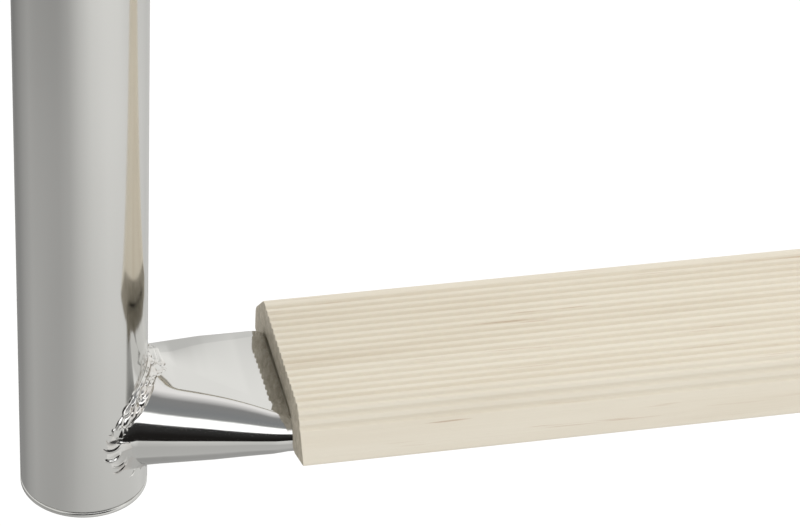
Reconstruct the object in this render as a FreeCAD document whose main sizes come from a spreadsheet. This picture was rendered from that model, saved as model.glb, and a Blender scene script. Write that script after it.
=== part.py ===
import FreeCAD, Part
import Sketcher
import math
import os

# A dock ladder: two bent tube stiles, rungs coped and welded between them,
# and a ribbed wooden tread over the pressed middle of each rung.
# Millimetres. Origin: underside of the left deck flange, at its centre.
# +X runs to the right stile, +Y on to the deck, +Z up.

doc = FreeCAD.newDocument("ladder")

SIZES = [
    ("stile_diameter", 40.0, "outside diameter of a stile tube"),
    ("stile_wall", 2.0, "wall of a stile tube"),
    ("stile_spacing", 400.0, "between the axes of the two stiles"),
    ("arch_radius", 120.0, "bend radius of a stile's axis over the deck edge"),
    ("arch_height", 520.0, "deck to the centre of the bend"),
    ("rung_count", 5.0, "number of rungs"),
    ("rung_pitch", 280.0, "from one rung's axis to the next"),
    ("top_rung_drop", 200.0, "deck to the axis of the highest rung"),
    ("tail_length", 25.0, "stile tube left below the lowest rung's axis"),
    ("rung_diameter", 38.0, "outside diameter of a rung tube where it is round"),
    ("rung_wall", 2.0, "wall of a rung tube"),
    ("pressed_height", 15.0, "height of a rung where it is pressed flat"),
    ("round_stub", 4.0, "round stretch of a rung beside the stile"),
    ("press_length", 40.0, "stretch over which a rung goes from round to flat"),
    ("weld_leg", 3.8, "leg of the weld bead round a rung's end"),
    ("tread_setback", 41.5, "stile's side to the end of the tread"),
    ("tread_front", 42.0, "rung's axis to the front edge of the tread"),
    ("tread_back", 36.0, "rung's axis to the back edge of the tread"),
    ("tread_thickness", 10.0, "wood above the rung"),
    ("nose_width", 11.0, "depth of the slope along the tread's front"),
    ("nose_round", 5.0, "radius between the tread's top and its nose"),
    ("shoulder_width", 12.0, "width of the bevel along the tread's back"),
    ("shoulder_drop", 11.5, "height of the bevel along the tread's back"),
    ("shoulder_round", 5.0, "radii at the two ends of the back bevel"),
    ("lip_drop", 2.0, "how far the tread's lips reach below the rung's axis"),
    ("bevel_height", 5.0, "height of the bevel under the nose"),
    ("bevel_width", 12.5, "width of the bevel under the nose"),
    ("groove_clearance", 0.5, "room between the rung and the tread's groove"),
    ("rib_pitch", 3.2, "from one rib on the tread to the next"),
    ("rib_depth", 1.0, "depth of the vee between two ribs"),
    ("rib_width", 2.2, "width of the vee between two ribs"),
    ("rib_margin", 16.0, "tread's back edge to the first vee"),
    ("nose_vees", 3.0, "number of vees on the nose"),
    ("cap_flange", 2.0, "thickness of an end cap's flange"),
    ("cap_bevel", 1.0, "bevelled rim of an end cap"),
    ("cap_plug", 18.0, "length of an end cap inside the tube"),
    ("cap_clearance", 0.2, "room between the plug and the tube's bore"),
    ("cap_wall", 2.5, "wall of the hollow plug"),
    ("flange_diameter", 100.0, "deck flange"),
    ("flange_thickness", 6.0, "deck flange"),
    ("flange_bevel", 1.5, "bevelled top rim of a deck flange"),
    ("bolt_circle", 76.0, "circle of the deck flange's holes"),
    ("bolt_hole", 8.5, "holes of the deck flange"),
    ("bolt_count", 4.0, "number of holes in a deck flange"),
    ("flange_weld_leg", 4.0, "leg of the bead round the foot of a stile"),
]

sheet = doc.addObject("Spreadsheet::Sheet", "sizes")
for row, (alias, value, meaning) in enumerate(SIZES, start=1):
    sheet.set("A%d" % row, alias)
    sheet.set("B%d" % row, str(value))
    sheet.set("C%d" % row, meaning)
    sheet.setAlias("B%d" % row, alias)
doc.recompute()


def size(alias):
    """The value of one cell of the sheet."""
    return float(getattr(sheet, alias))


def value_of(formula):
    """The value of a formula on the sheet's cells."""
    return float(sheet.evalExpression(formula))


# Formulas that more than one piece uses.
STILE_RADIUS = "sizes.stile_diameter / 2"
RUNG_RADIUS = "sizes.rung_diameter / 2"
HALF_SPAN = "sizes.stile_spacing / 2"
REACH = "2 * sizes.arch_radius"
LOWEST_RUNG = "-sizes.top_rung_drop - (sizes.rung_count - 1) * sizes.rung_pitch"
STILE_FOOT = "(" + LOWEST_RUNG + ") - sizes.tail_length"
HALF_PRESSED = "sizes.pressed_height / 2"
HALF_FLAT = "pi * (sizes.rung_diameter - sizes.pressed_height) / 4"
PRESS_START = "(" + HALF_SPAN + " - " + STILE_RADIUS + " - sizes.round_stub)"
PRESS_FINISH = "(" + PRESS_START + " - sizes.press_length)"
GROOVE_END = "(" + HALF_PRESSED + " + sizes.groove_clearance)"
GROOVE_HALF_WIDTH = "(" + HALF_FLAT + " + " + GROOVE_END + ")"
TREAD_TOP = "(" + GROOVE_END + " + sizes.tread_thickness)"
NOSE_BREAK = "(sizes.nose_width - sizes.tread_front)"
NOSE_FOOT = "(sizes.bevel_height - sizes.lip_drop)"
NOSE_SLOPE = "atan2(%s - %s; sizes.nose_width)" % (TREAD_TOP, NOSE_FOOT)
SHOULDER_BREAK = "(sizes.tread_back - sizes.shoulder_width)"
SHOULDER_FOOT = "(" + TREAD_TOP + " - sizes.shoulder_drop)"

# How far the tube has gone from round to pressed at even steps along the press.
PRESS_SHARES = [0.0, 0.2, 0.54, 0.86, 1.0]

# Where the flats of a rung begin on its round end, in degrees from the top.
SEAM_ANGLE = 1

# Two lengths closer than this are the same.
TOUCH = 0.01


def new_body(label):
    """An empty body whose label names its file."""
    body = doc.addObject("PartDesign::Body", label)
    body.Label = label
    return body


def origin_item(body, role):
    """One of a body's own origin planes or axes."""
    return [item for item in body.Origin.OriginFeatures if item.Role == role][0]


def new_sketch(body, name, plane, **offset):
    """A sketch on an origin plane, moved along the axes that offset names by a formula."""
    sketch = body.newObject("Sketcher::SketchObject", name)
    sketch.AttachmentSupport = [(origin_item(body, plane), "")]
    sketch.MapMode = "FlatFace"
    for axis, formula in offset.items():
        sketch.setExpression("AttachmentOffset.Base." + axis, formula)
    return sketch


def bind(sketch, kind, formula, *where):
    """A dimension of the sketch that follows a formula."""
    index = sketch.addConstraint(Sketcher.Constraint(kind, *where, value_of(formula)))
    sketch.setExpression("Constraints[%d]" % index, formula)


def draw_circle(sketch, radius, across="0", up="0"):
    """A circle whose radius and centre follow formulas."""
    centre = FreeCAD.Vector(value_of(across), value_of(up), 0)
    index = sketch.addGeometry(Part.Circle(centre, FreeCAD.Vector(0, 0, 1), value_of(radius)))
    bind(sketch, "DistanceX", across, -1, 1, index, 3)
    bind(sketch, "DistanceY", up, -1, 1, index, 3)
    bind(sketch, "Radius", radius, index)


def draw_polygon(sketch, corners):
    """A closed outline of straight edges; each corner is a pair of formulas."""
    points = [FreeCAD.Vector(value_of(across), value_of(up), 0) for across, up in corners]
    first = None
    for index, point in enumerate(points):
        following = points[(index + 1) % len(points)]
        edge = sketch.addGeometry(Part.LineSegment(point, following))
        first = edge if first is None else first
    count = len(points)
    for index, (across, up) in enumerate(corners):
        edge = first + index
        following = first + (index + 1) % count
        sketch.addConstraint(Sketcher.Constraint("Coincident", edge, 2, following, 1))
        bind(sketch, "DistanceX", across, -1, 1, edge, 1)
        bind(sketch, "DistanceY", up, -1, 1, edge, 1)


def edges_where(shape, test):
    """Names of the straight or curved edges whose middle passes the test."""
    names = []
    for index, edge in enumerate(shape.Edges, start=1):
        middle = edge.valueAt((edge.FirstParameter + edge.LastParameter) / 2)
        if test(edge, middle):
            names.append("Edge%d" % index)
    return names


def round_edges(body, name, base, radius, test):
    """A fillet on the edges of base that pass the test."""
    doc.recompute()
    fillet = body.newObject("PartDesign::Fillet", name)
    fillet.Base = (base, edges_where(base.Shape, test))
    fillet.setExpression("Radius", radius)
    return fillet


def bevel_edges(body, name, base, leg, test):
    """A chamfer on the edges of base that pass the test."""
    doc.recompute()
    chamfer = body.newObject("PartDesign::Chamfer", name)
    chamfer.Base = (base, edges_where(base.Shape, test))
    chamfer.setExpression("Size", leg)
    return chamfer


def near(one, other):
    """True where two lengths are the same."""
    return abs(one - other) < TOUCH


def cut_through(body, name, sketch):
    """A pocket through the whole piece, to both sides of the sketch."""
    pocket = body.newObject("PartDesign::Pocket", name)
    pocket.Profile = sketch
    pocket.Type = "ThroughAll"
    pocket.Midplane = True
    return pocket


def make_stile(label, across):
    """A round tube up from below the lowest rung, over the deck edge and down to the flange."""
    body = new_body(label)
    path = new_sketch(body, label + "_path", "YZ_Plane")
    back = value_of(REACH)
    foot = value_of(STILE_FOOT)
    bend = size("arch_height")
    seat = size("flange_thickness")
    radius = size("arch_radius")
    corner = FreeCAD.Vector
    riser = path.addGeometry(Part.LineSegment(corner(-back, foot, 0), corner(-back, bend, 0)))
    circle = Part.Circle(corner(-radius, bend, 0), corner(0, 0, 1), radius)
    arch = path.addGeometry(Part.ArcOfCircle(circle, 0, math.pi))
    leg = path.addGeometry(Part.LineSegment(corner(0, bend, 0), corner(0, seat, 0)))
    path.addConstraint(Sketcher.Constraint("Tangent", riser, 2, arch, 2))
    path.addConstraint(Sketcher.Constraint("Tangent", arch, 1, leg, 1))
    path.addConstraint(Sketcher.Constraint("Vertical", riser))
    path.addConstraint(Sketcher.Constraint("PointOnObject", leg, 2, -2))
    bind(path, "Radius", "sizes.arch_radius", arch)
    bind(path, "DistanceY", "sizes.arch_height", -1, 1, arch, 3)
    bind(path, "DistanceY", STILE_FOOT, -1, 1, riser, 1)
    bind(path, "DistanceY", "sizes.flange_thickness", -1, 1, leg, 2)
    ring = new_sketch(body, label + "_ring", "XY_Plane", y="-" + REACH, z=STILE_FOOT)
    draw_circle(ring, STILE_RADIUS)
    draw_circle(ring, STILE_RADIUS + " - sizes.stile_wall")
    pipe = body.newObject("PartDesign::AdditivePipe", label + "_tube")
    pipe.Profile = ring
    pipe.Spine = path
    pipe.Mode = "Frenet"
    body.setExpression("Placement.Base.x", across)
    return body


def section_corners(share, inset):
    """Formulas of a rung's section between round (share 0) and pressed (share 1).

    The section is two half circles and two flats. The flats widen as the tube is
    pressed lower, so that its girth stays the same.
    """
    radius = "(%s - %s)" % (RUNG_RADIUS, inset)
    pressed = "(%s - %s)" % (HALF_PRESSED, inset)
    blend = "((1 - %s) * (%s) + %s * (%s))"
    across = blend % (share, "%s * sin(%s)" % (radius, SEAM_ANGLE), share, HALF_FLAT)
    up = blend % (share, "%s * cos(%s)" % (radius, SEAM_ANGLE), share, pressed)
    side = blend % (share, radius, share, HALF_FLAT + " + " + pressed)
    return across, up, side


def draw_section(sketch, share, inset):
    """One section of a rung's outside (inset 0) or bore (inset the wall)."""
    across, up, side = section_corners(share, inset)
    corner_x = value_of(across)
    corner_y = value_of(up)
    reach = value_of(side)
    corners = [(1, 1), (-1, 1), (-1, -1), (1, -1)]
    edges = []
    for index, (right, upper) in enumerate(corners):
        onward = corners[(index + 1) % 4]
        start = FreeCAD.Vector(right * corner_x, upper * corner_y, 0)
        end = FreeCAD.Vector(onward[0] * corner_x, onward[1] * corner_y, 0)
        if index % 2 == 0:
            edges.append(sketch.addGeometry(Part.LineSegment(start, end)))
        else:
            middle = FreeCAD.Vector(right * reach, 0, 0)
            edges.append(sketch.addGeometry(Part.Arc(start, middle, end)))
    for index, (right, upper) in enumerate(corners):
        sketch.addConstraint(Sketcher.Constraint("Coincident", edges[index - 1], 2, edges[index], 1))
        sign_x = "" if right > 0 else "-"
        sign_y = "" if upper > 0 else "-"
        bind(sketch, "DistanceX", sign_x + across, -1, 1, edges[index], 1)
        bind(sketch, "DistanceY", sign_y + up, -1, 1, edges[index], 1)
    rise = "(%s - %s)" % (side, across)
    centre = "(%s - ((%s)^2 + %s^2) / (2 * %s))" % (side, up, rise, rise)
    bind(sketch, "DistanceX", "-" + centre, -1, 1, edges[1], 3)
    bind(sketch, "DistanceX", centre, -1, 1, edges[3], 3)


def add_half_tube(body, name, inset, kinds):
    """Half of a rung as a solid, from the stile's axis to mid-span, or the bore cut from it."""
    pad_kind, loft_kind = kinds
    stub_sketch = new_sketch(body, name + "_round", "YZ_Plane", z="-" + HALF_SPAN)
    draw_circle(stub_sketch, "%s - %s" % (RUNG_RADIUS, inset))
    stub = body.newObject(pad_kind, name + "_stub")
    stub.Profile = stub_sketch
    stub.setExpression("Length", STILE_RADIUS + " + sizes.round_stub")
    sections = []
    for step, share in enumerate(PRESS_SHARES):
        along = step / (len(PRESS_SHARES) - 1)
        place = "-%s + %s * sizes.press_length" % (PRESS_START, along)
        section = new_sketch(body, "%s_press_%d" % (name, step), "YZ_Plane", z=place)
        draw_section(section, share, inset)
        sections.append(section)
    press = body.newObject(loft_kind, name + "_press")
    press.Profile = sections[0]
    press.Sections = sections[1:]
    press.Ruled = True
    flat_sketch = new_sketch(body, name + "_flat_end", "YZ_Plane", z="-" + PRESS_FINISH)
    draw_section(flat_sketch, 1, inset)
    flat = body.newObject(pad_kind, name + "_flat")
    flat.Profile = flat_sketch
    flat.setExpression("Length", PRESS_FINISH)
    if "Pocket" in pad_kind:
        stub.Reversed = True
        flat.Reversed = True
    return flat


def make_rung(label, height):
    """A tube, round at both ends and pressed flat between them, coped to the stiles."""
    body = new_body(label)
    add_half_tube(body, label + "_outside", "0", ("PartDesign::Pad", "PartDesign::AdditiveLoft"))
    doc.recompute()
    kinds = ("PartDesign::Pocket", "PartDesign::SubtractiveLoft")
    add_half_tube(body, label + "_bore", "sizes.rung_wall", kinds)
    cope_sketch = new_sketch(body, label + "_stile_line", "XY_Plane")
    draw_circle(cope_sketch, STILE_RADIUS, across="-" + HALF_SPAN)
    cut_through(body, label + "_cope", cope_sketch)
    doc.recompute()
    mirrored = body.newObject("PartDesign::Mirrored", label + "_both_halves")
    mirrored.TransformMode = "Whole shape"
    mirrored.MirrorPlane = (origin_item(body, "YZ_Plane"), [""])
    body.Tip = mirrored
    body.setExpression("Placement.Base.x", HALF_SPAN)
    body.setExpression("Placement.Base.y", "-" + REACH)
    body.setExpression("Placement.Base.z", height)
    return body


def draw_vee(sketch, across, up, slope):
    """A vee with its mouth centred on a point; slope is the angle of the wood's face there."""
    along = "({0}) * cos({2}) - ({1}) * sin({2})"
    rise = "({0}) * sin({2}) + ({1}) * cos({2})"
    half = "sizes.rib_width / 2"
    mouth = [("-" + half, "sizes.rib_depth"), ("-" + half, "0"), ("0", "-sizes.rib_depth"),
             (half, "0"), (half, "sizes.rib_depth")]
    corners = []
    for right, out in mouth:
        corners.append(("(%s) + %s" % (across, along.format(right, out, slope)),
                        "(%s) + %s" % (up, rise.format(right, out, slope))))
    draw_polygon(sketch, corners)


def make_tread(label, height):
    """A ribbed board, grooved underneath so that it caps the pressed rung."""
    body = new_body(label)
    outline = new_sketch(body, label + "_outline", "YZ_Plane")
    draw_polygon(outline, [
        (NOSE_BREAK, TREAD_TOP),
        ("-sizes.tread_front", NOSE_FOOT),
        ("-sizes.tread_front + sizes.bevel_width", "-sizes.lip_drop"),
        ("sizes.tread_back", "-sizes.lip_drop"),
        ("sizes.tread_back", SHOULDER_FOOT),
        (SHOULDER_BREAK, TREAD_TOP),
    ])
    board = body.newObject("PartDesign::Pad", label + "_board")
    board.Profile = outline
    board.Midplane = True
    board.setExpression("Length", "sizes.stile_spacing - sizes.stile_diameter - 2 * sizes.tread_setback")
    top = value_of(TREAD_TOP)
    front = value_of(NOSE_BREAK)
    shaped = round_edges(body, label + "_nose_round", board, "sizes.nose_round",
                         lambda edge, middle: near(middle.y, front) and near(middle.z, top))
    ends = [(value_of(SHOULDER_BREAK), top), (size("tread_back"), value_of(SHOULDER_FOOT))]
    round_edges(body, label + "_shoulder_rounds", shaped, "sizes.shoulder_round",
                lambda edge, middle: any(near(middle.y, y) and near(middle.z, z) for y, z in ends))
    groove_sketch = new_sketch(body, label + "_groove_line", "YZ_Plane")
    draw_polygon(groove_sketch, [
        ("-" + GROOVE_HALF_WIDTH, "-2 * sizes.lip_drop"),
        (GROOVE_HALF_WIDTH, "-2 * sizes.lip_drop"),
        (GROOVE_HALF_WIDTH, GROOVE_END),
        ("-" + GROOVE_HALF_WIDTH, GROOVE_END),
    ])
    groove = cut_through(body, label + "_groove", groove_sketch)
    roof = value_of(GROOVE_END)
    wall = value_of(GROOVE_HALF_WIDTH)
    round_edges(body, label + "_groove_round", groove, GROOVE_END,
                lambda edge, middle: near(abs(middle.y), wall) and near(middle.z, roof))
    doc.recompute()
    nose_sketch = new_sketch(body, label + "_nose_vee_lines", "YZ_Plane")
    for number in range(int(size("nose_vees"))):
        down = "(%s * sizes.rib_pitch)" % (number + 0.5)
        draw_vee(nose_sketch, "%s - %s * cos(%s)" % (NOSE_BREAK, down, NOSE_SLOPE),
                 "%s - %s * sin(%s)" % (TREAD_TOP, down, NOSE_SLOPE), NOSE_SLOPE)
    cut_through(body, label + "_nose_vees", nose_sketch)
    vee_sketch = new_sketch(body, label + "_vee_line", "YZ_Plane")
    draw_vee(vee_sketch, "sizes.tread_back - sizes.rib_margin", TREAD_TOP, "0")
    vee = cut_through(body, label + "_vee", vee_sketch)
    doc.recompute()
    ribs = body.newObject("PartDesign::LinearPattern", label + "_ribs")
    ribs.Originals = [vee]
    ribs.Direction = (origin_item(body, "Y_Axis"), [""])
    ribs.Reversed = True
    ribbed = "(sizes.tread_back - sizes.rib_margin - %s)" % NOSE_BREAK
    steps = "floor(%s / sizes.rib_pitch)" % ribbed
    ribs.setExpression("Occurrences", steps + " + 1")
    ribs.setExpression("Length", steps + " * sizes.rib_pitch")
    body.Tip = ribs
    body.setExpression("Placement.Base.x", HALF_SPAN)
    body.setExpression("Placement.Base.y", "-" + REACH)
    body.setExpression("Placement.Base.z", height)
    return body


def make_cap(label, across):
    """A round plug that closes the foot of a stile."""
    body = new_body(label)
    bore = "(" + STILE_RADIUS + " - sizes.stile_wall - sizes.cap_clearance)"
    profile = new_sketch(body, label + "_profile", "XZ_Plane")
    draw_polygon(profile, [
        ("0", "-sizes.cap_flange"),
        (STILE_RADIUS, "-sizes.cap_flange"),
        (STILE_RADIUS, "0"),
        (bore, "0"),
        (bore, "sizes.cap_plug"),
        (bore + " - sizes.cap_wall", "sizes.cap_plug"),
        (bore + " - sizes.cap_wall", "0"),
        ("0", "0"),
    ])
    turned = body.newObject("PartDesign::Revolution", label + "_turned")
    turned.Profile = profile
    turned.ReferenceAxis = (profile, ["V_Axis"])
    turned.Angle = 360
    under = -size("cap_flange")
    rim = value_of(STILE_RADIUS)
    bevel_edges(body, label + "_rim", turned, "sizes.cap_bevel",
                lambda edge, middle: near(middle.z, under) and near(math.hypot(middle.x, middle.y), rim))
    body.setExpression("Placement.Base.x", across)
    body.setExpression("Placement.Base.y", "-" + REACH)
    body.setExpression("Placement.Base.z", STILE_FOOT)
    return body


def make_flange(label, across):
    """A round plate with four bolt holes that carries a stile on the deck."""
    body = new_body(label)
    disc_sketch = new_sketch(body, label + "_outline", "XY_Plane")
    draw_circle(disc_sketch, "sizes.flange_diameter / 2")
    disc = body.newObject("PartDesign::Pad", label + "_disc")
    disc.Profile = disc_sketch
    disc.setExpression("Length", "sizes.flange_thickness")
    top = size("flange_thickness")
    bevel_edges(body, label + "_rim", disc, "sizes.flange_bevel",
                lambda edge, middle: near(middle.z, top))
    doc.recompute()
    hole_sketch = new_sketch(body, label + "_hole_line", "XY_Plane")
    reach = "sizes.bolt_circle / 2 * sin(45)"
    draw_circle(hole_sketch, "sizes.bolt_hole / 2", across=reach, up=reach)
    hole = body.newObject("PartDesign::Pocket", label + "_hole")
    hole.Profile = hole_sketch
    hole.Type = "ThroughAll"
    hole.Reversed = True
    doc.recompute()
    holes = body.newObject("PartDesign::PolarPattern", label + "_holes")
    holes.Originals = [hole]
    holes.Axis = (origin_item(body, "Z_Axis"), [""])
    holes.Angle = 360
    holes.setExpression("Occurrences", "sizes.bolt_count")
    body.Tip = holes
    body.setExpression("Placement.Base.x", across)
    return body


def make_flange_weld(label, across):
    """The bead round the foot of a stile on its flange."""
    body = new_body(label)
    profile = new_sketch(body, label + "_profile", "XZ_Plane")
    draw_polygon(profile, [
        (STILE_RADIUS, "sizes.flange_thickness"),
        (STILE_RADIUS + " + sizes.flange_weld_leg", "sizes.flange_thickness"),
        (STILE_RADIUS, "sizes.flange_thickness + sizes.flange_weld_leg"),
    ])
    turned = body.newObject("PartDesign::Revolution", label + "_turned")
    turned.Profile = profile
    turned.ReferenceAxis = (profile, ["V_Axis"])
    turned.Angle = 360
    body.setExpression("Placement.Base.x", across)
    return body


def add_cylinder(name, radius, length, across, height, turned):
    """A plain cylinder: upright, or along X towards the middle of the ladder."""
    cylinder = doc.addObject("Part::Cylinder", name)
    cylinder.setExpression("Radius", radius)
    cylinder.setExpression("Height", length)
    cylinder.Placement.Rotation = FreeCAD.Rotation(FreeCAD.Vector(0, 1, 0), turned * 90)
    cylinder.setExpression("Placement.Base.x", across)
    cylinder.setExpression("Placement.Base.y", "-" + REACH)
    cylinder.setExpression("Placement.Base.z", height)
    return cylinder


def meets_both_tubes(edge, axis, height):
    """True for an edge that lies on the outside of a rung and of the stile on the axis given."""
    for share in (0.1, 0.5, 0.9):
        point = edge.valueAt(edge.FirstParameter + share * (edge.LastParameter - edge.FirstParameter))
        sideways = point.y + value_of(REACH)
        from_stile = math.hypot(point.x - axis, sideways)
        from_rung = math.hypot(sideways, point.z - height)
        if not near(from_stile, value_of(STILE_RADIUS)) or not near(from_rung, value_of(RUNG_RADIUS)):
            return False
    return True


def make_weld(label, across, height, turned):
    """The bead round a rung's coped end: turned is 1 on the left stile and -1 on the right.

    It fills the corner between the two tubes, with the same leg along each of them.
    """
    reach = STILE_RADIUS + " + 2 * sizes.weld_leg"
    tall = "sizes.rung_diameter + 4 * sizes.weld_leg"
    low = "(%s) - (%s) / 2" % (height, tall)
    rung = add_cylinder(label + "_rung", RUNG_RADIUS, reach, across, height, turned)
    stile = add_cylinder(label + "_stile", STILE_RADIUS, tall, across, low, 0)
    joined = doc.addObject("Part::Fuse", label + "_joined")
    joined.Base = stile
    joined.Tool = rung
    doc.recompute()
    filled = doc.addObject("Part::Chamfer", label + "_filled")
    filled.Base = joined
    leg = size("weld_leg")
    filled.Edges = [(index, leg, leg) for index, edge in enumerate(joined.Shape.Edges, start=1)
                    if meets_both_tubes(edge, value_of(across), value_of(height))]
    bead = doc.addObject("Part::Cut", label)
    bead.Label = label
    bead.Base = filled
    bead.Tool = joined
    return bead


def make_ladder():
    """All the pieces, in the order in which a maker would put them together."""
    pieces = []
    sides = [("left", "0 * sizes.stile_spacing", 1), ("right", "sizes.stile_spacing", -1)]
    for side, across, turned in sides:
        pieces.append(make_stile(side + "_stile", across))
        pieces.append(make_cap(side + "_end_cap", across))
        pieces.append(make_flange(side + "_deck_flange", across))
        pieces.append(make_flange_weld(side + "_flange_weld", across))
    for number in range(1, int(size("rung_count")) + 1):
        height = "%s + %d * sizes.rung_pitch" % (LOWEST_RUNG, number - 1)
        pieces.append(make_rung("rung_%d" % number, height))
        pieces.append(make_tread("tread_%d" % number, height))
        for side, across, turned in sides:
            pieces.append(make_weld("%s_weld_%d" % (side, number), across, height, turned))
    return pieces


def faults(pieces):
    """Names of what failed to compute or is no sound solid."""
    found = []
    for item in doc.Objects:
        if "Invalid" in item.State or "Error" in item.State:
            found.append(item.Name + " " + item.getStatusString())
    for piece in pieces:
        shape = piece.Shape
        if shape.isNull() or not shape.isValid() or not shape.Solids:
            found.append(piece.Label)
    return found


pieces = make_ladder()
doc.recompute()
failed = faults(pieces)
if failed:
    raise RuntimeError("not sound: " + ", ".join(failed))

os.makedirs("parts", exist_ok=True)
for piece in pieces:
    piece.Shape.exportStep("parts/%s.step" % piece.Label)
print("%d pieces written" % len(pieces))
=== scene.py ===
import math

import bmesh
import bpy
import numpy as np
from mathutils import Matrix, Vector


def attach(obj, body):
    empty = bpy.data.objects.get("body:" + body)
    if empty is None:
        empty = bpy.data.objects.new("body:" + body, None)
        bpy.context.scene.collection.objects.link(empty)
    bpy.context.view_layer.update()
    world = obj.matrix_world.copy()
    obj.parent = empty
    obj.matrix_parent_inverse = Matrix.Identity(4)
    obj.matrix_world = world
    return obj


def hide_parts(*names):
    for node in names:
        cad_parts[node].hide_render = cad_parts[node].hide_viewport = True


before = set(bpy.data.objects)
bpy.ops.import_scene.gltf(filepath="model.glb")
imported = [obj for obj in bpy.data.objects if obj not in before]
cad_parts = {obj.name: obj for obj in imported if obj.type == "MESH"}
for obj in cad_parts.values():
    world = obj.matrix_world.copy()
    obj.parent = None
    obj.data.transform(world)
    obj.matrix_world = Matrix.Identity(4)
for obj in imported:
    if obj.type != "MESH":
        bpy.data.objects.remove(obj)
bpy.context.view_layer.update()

# The ladder's sizes in metres, as in the source of its solids. Only PRESS_START differs: there a
# rung stays round for 2 mm more.
MM = 0.001
SPAN = 400 * MM
STILE_Y = -240 * MM
STILE_R = 20 * MM
STILE_BORE = 18 * MM
FOOT = -1345 * MM
ARCH_Z = 520 * MM
ARCH_R = 120 * MM
DECK_END = 6 * MM
CAP_FLANGE = 2 * MM
CAP_PLUG = 18 * MM
CAP_CLEARANCE = 0.2 * MM
CAP_WALL = 2.5 * MM
RUNG_R = 19 * MM
RUNG_WALL = 2 * MM
PRESS_HALF = 7.5 * MM
PRESS_START = 22 * MM
PRESS_END = 64 * MM
TREAD_ENDS = (61.5 * MM, SPAN - 61.5 * MM)
RUNG_HEIGHTS = [(-1320 + 280 * step) * MM for step in range(5)]
STILES = (("left", 0.0), ("right", SPAN))
TUBE_SIDES = 128


# Node helpers

# A colour mix has its sockets by number, because its other kinds have sockets of the same names.
MIX_SHARE = 0
MIX_FIRST = 6
MIX_SECOND = 7
MIX_RESULT = 2


def node(tree, kind, **values):
    """A new node with its inputs and settings given by name."""
    made = tree.nodes.new(kind)
    for name, value in values.items():
        if name in made.inputs:
            made.inputs[name].default_value = value
        else:
            setattr(made, name, value)
    return made


def link(tree, source, output, target, socket):
    tree.links.new(source.outputs[output], target.inputs[socket])


def ramp(tree, stops):
    """A colour ramp through (position, grey or colour) stops."""
    made = tree.nodes.new("ShaderNodeValToRGB")
    elements = made.color_ramp.elements
    while len(elements) < len(stops):
        elements.new(0.5)
    for element, (position, colour) in zip(elements, stops):
        element.position = position
        if isinstance(colour, (int, float)):
            colour = (colour, colour, colour)
        element.color = (*colour, 1.0)
    return made


def blend(tree, share, output, first, second):
    """A mix of two colours, each a (node, output) pair, by a node's value."""
    made = node(tree, "ShaderNodeMix", data_type="RGBA")
    link(tree, share, output, made, MIX_SHARE)
    link(tree, *first, made, MIX_FIRST)
    link(tree, *second, made, MIX_SECOND)
    return made


def stretched_noise(tree, stretch, detail, roughness=0.55, distortion=0.0):
    """Noise over the object's own coordinates, with a scale for each axis."""
    place = node(tree, "ShaderNodeTexCoord")
    mapping = node(tree, "ShaderNodeMapping", Scale=stretch)
    link(tree, place, "Object", mapping, "Vector")
    noise = node(tree, "ShaderNodeTexNoise", Scale=1.0, Detail=detail, Roughness=roughness,
                 Distortion=distortion)
    link(tree, mapping, "Vector", noise, "Vector")
    return noise


def spread(tree, source, output, low, high, start=0.3, finish=0.7):
    """A value from low to high as the source goes from start to finish."""
    limits = {"From Min": start, "From Max": finish, "To Min": low, "To Max": high}
    made = node(tree, "ShaderNodeMapRange", **limits)
    link(tree, source, output, made, "Value")
    return made


def relief(tree, noise, depth, shader):
    """Fine bumps after a noise, with their depth in metres."""
    bump = node(tree, "ShaderNodeBump", Strength=1.0, Distance=depth)
    link(tree, noise, "Fac", bump, "Height")
    link(tree, bump, "Normal", shader, "Normal")


def new_material(name):
    material = bpy.data.materials.new(name)
    material.use_nodes = True
    tree = material.node_tree
    shader = tree.nodes["Principled BSDF"]
    return material, tree, shader


def metal(name, colour, grain, low, high, depth):
    """Bare metal with fine draw lines.

    grain is the noise scale along each axis, low and high the roughness, depth that of the lines.
    """
    material, tree, shader = new_material(name)
    shader.inputs["Metallic"].default_value = 1.0
    lines = stretched_noise(tree, grain, detail=3.0)
    clouds = stretched_noise(tree, (14, 14, 14), detail=2.0)
    tint = ramp(tree, [(0.3, [part * 0.96 for part in colour]), (0.7, colour)])
    link(tree, clouds, "Fac", tint, "Fac")
    link(tree, tint, "Color", shader, "Base Color")
    rough = spread(tree, lines, "Fac", low, high)
    link(tree, rough, "Result", shader, "Roughness")
    relief(tree, lines, depth, shader)
    return material


def bead_metal():
    """Weld metal: bright, a little rougher than the tube, with heat tint in patches."""
    material, tree, shader = new_material("weld_metal")
    shader.inputs["Metallic"].default_value = 1.0
    patches = stretched_noise(tree, (160, 160, 160), detail=3.0)
    tint = ramp(tree, [(0.35, (0.65, 0.625, 0.60)), (0.55, (0.67, 0.665, 0.65))])
    link(tree, patches, "Fac", tint, "Fac")
    link(tree, tint, "Color", shader, "Base Color")
    rough = spread(tree, patches, "Fac", 0.2, 0.1)
    link(tree, rough, "Result", shader, "Roughness")
    pits = stretched_noise(tree, (900, 900, 900), detail=3.0)
    relief(tree, pits, 0.03 * MM, shader)
    return material


PORE_BROWN = (0.42, 0.24, 0.13, 1.0)
PORE_WEIGHT = 0.55


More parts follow.
